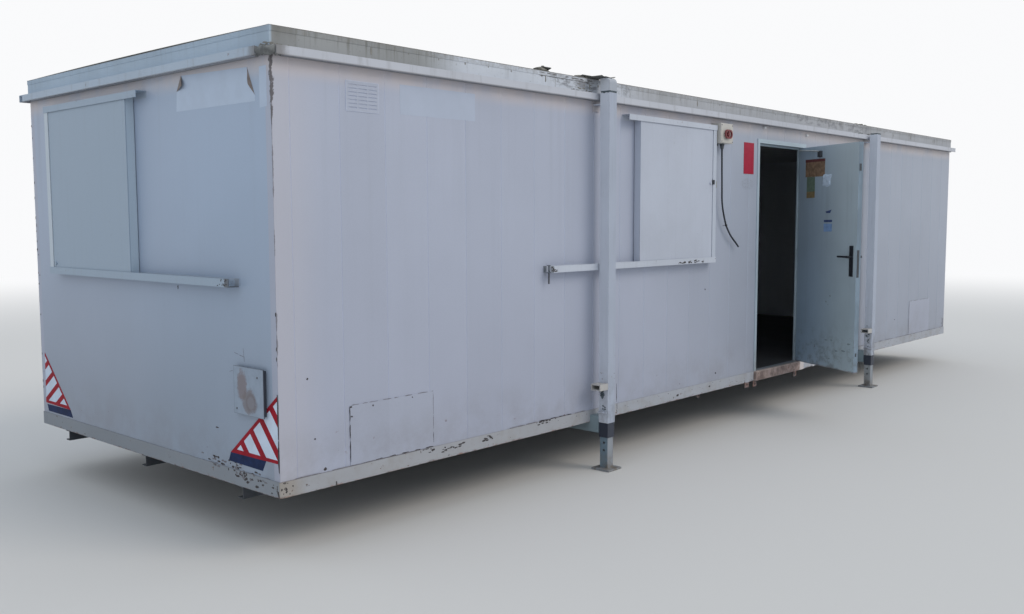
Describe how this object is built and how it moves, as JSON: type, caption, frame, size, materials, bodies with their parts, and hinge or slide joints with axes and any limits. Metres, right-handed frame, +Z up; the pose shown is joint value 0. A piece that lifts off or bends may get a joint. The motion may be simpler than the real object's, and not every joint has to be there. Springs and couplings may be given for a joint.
{
  "type": "portable site cabin",
  "caption": "Long flat-sided portable site cabin on telescopic jack legs, with shuttered windows, a hinged door and a nearly flat felt roof.",
  "frame": {"origin": "on the ground in the middle of the whole outline's length and width, with the door standing open", "axes": "+X along the cabin, away from the shuttered end; the long side with the door faces -Y; +Z up"},
  "size_m": [9.868, 3.7936, 2.734],
  "materials": {
    "base_paint": "matte",
    "bearer_steel": "matte",
    "black_plastic": "matte",
    "cable_black": "matte",
    "ceiling_board": "matte",
    "door_paint": "satin",
    "fascia_paint": "matte",
    "fascia_paint_steel": "matte",
    "floor_boards": "matte",
    "hinge_steel": "satin",
    "inlet_grey": "matte",
    "isolator_grey": "satin",
    "isolator_red": "satin",
    "joist_timber": "matte",
    "leg_paint": "satin",
    "lock_steel": "satin",
    "patch_paint": "matte",
    "ram_paint": "satin",
    "roof_core": "matte",
    "roof_felt": "matte",
    "shutter_paint": "satin",
    "wall_panel": "satin",
    "window_glass": "gloss",
    "window_paint": "satin"
  },
  "bodies": {
    "cabin": {"base_rails_side": "base_paint", "base_rails_end": "base_paint", "bearers": "bearer_steel", "floor_joists": "joist_timber", "floor_deck": "floor_boards", "front_wall": "wall_panel", "front_wall_spandrels": "wall_panel", "left_wall": "wall_panel", "left_wall_spandrels": "wall_panel", "right_wall": "wall_panel", "rear_wall": "wall_panel", "ceiling": "ceiling_board", "roof_deck": "roof_core", "roof_felt": "roof_felt", "fascias_side": "fascia_paint", "fascias_end": "fascia_paint", "drip_rails": "fascia_paint_steel", "window_frames": "window_paint", "window_glass": "window_glass", "shutters": "shutter_paint", "shutter_guides": "shutter_paint", "shutter_jambs": "shutter_paint", "vent_plate": "shutter_paint", "patch_panels": "patch_paint", "inlet_plate": "inlet_grey", "isolator_box": "isolator_grey", "isolator_handle": "isolator_red", "cable_gland": "black_plastic", "cable": "cable_black", "door_jambs": "shutter_paint", "door_head": "shutter_paint", "frame_hinge_halves": "hinge_steel", "door_sill": "bearer_steel", "leg_tubes": "leg_paint", "leg_caps": "base_paint", "lifting_lugs": "leg_paint", "outriggers": "base_paint"},
    "door": {"door_leaf": "door_paint", "leaf_hinge_halves": "hinge_steel", "lock_plates": "lock_steel"},
    "handle": {"door_handle": "lock_steel"},
    "leg_front_left": {"leg_ram_front_left": "ram_paint"},
    "leg_front_right": {"leg_ram_front_right": "ram_paint"},
    "leg_rear_left": {"leg_ram_rear_left": "ram_paint"},
    "leg_rear_right": {"leg_ram_rear_right": "ram_paint"}
  },
  "joints": [
    {"name": "door_hinge", "type": "hinge", "parent": "cabin", "child": "door", "pos_m": [0.945, -1.16971, 0.418], "axis": [0, 0, 1], "range_deg": [-61, 39]},
    {"name": "handle_turn", "type": "hinge", "parent": "door", "child": "handle", "pos_m": [0.55203, -1.84256, 1.421], "axis": [-0.8746, 0.4848, 0], "range_deg": [0, 45], "stiffness_Nm_per_rad": 1.5, "springref_deg": -34.38},
    {"name": "leg_slide_front_left", "type": "slide", "parent": "cabin", "child": "leg_front_left", "axis": [0, 0, -1], "range_m": [0, 0.9]},
    {"name": "leg_slide_front_right", "type": "slide", "parent": "cabin", "child": "leg_front_right", "axis": [0, 0, -1], "range_m": [0, 0.9]},
    {"name": "leg_slide_rear_left", "type": "slide", "parent": "cabin", "child": "leg_rear_left", "axis": [0, 0, -1], "range_m": [0, 0.9]},
    {"name": "leg_slide_rear_right", "type": "slide", "parent": "cabin", "child": "leg_rear_right", "axis": [0, 0, -1], "range_m": [0, 0.9]}
  ]
}
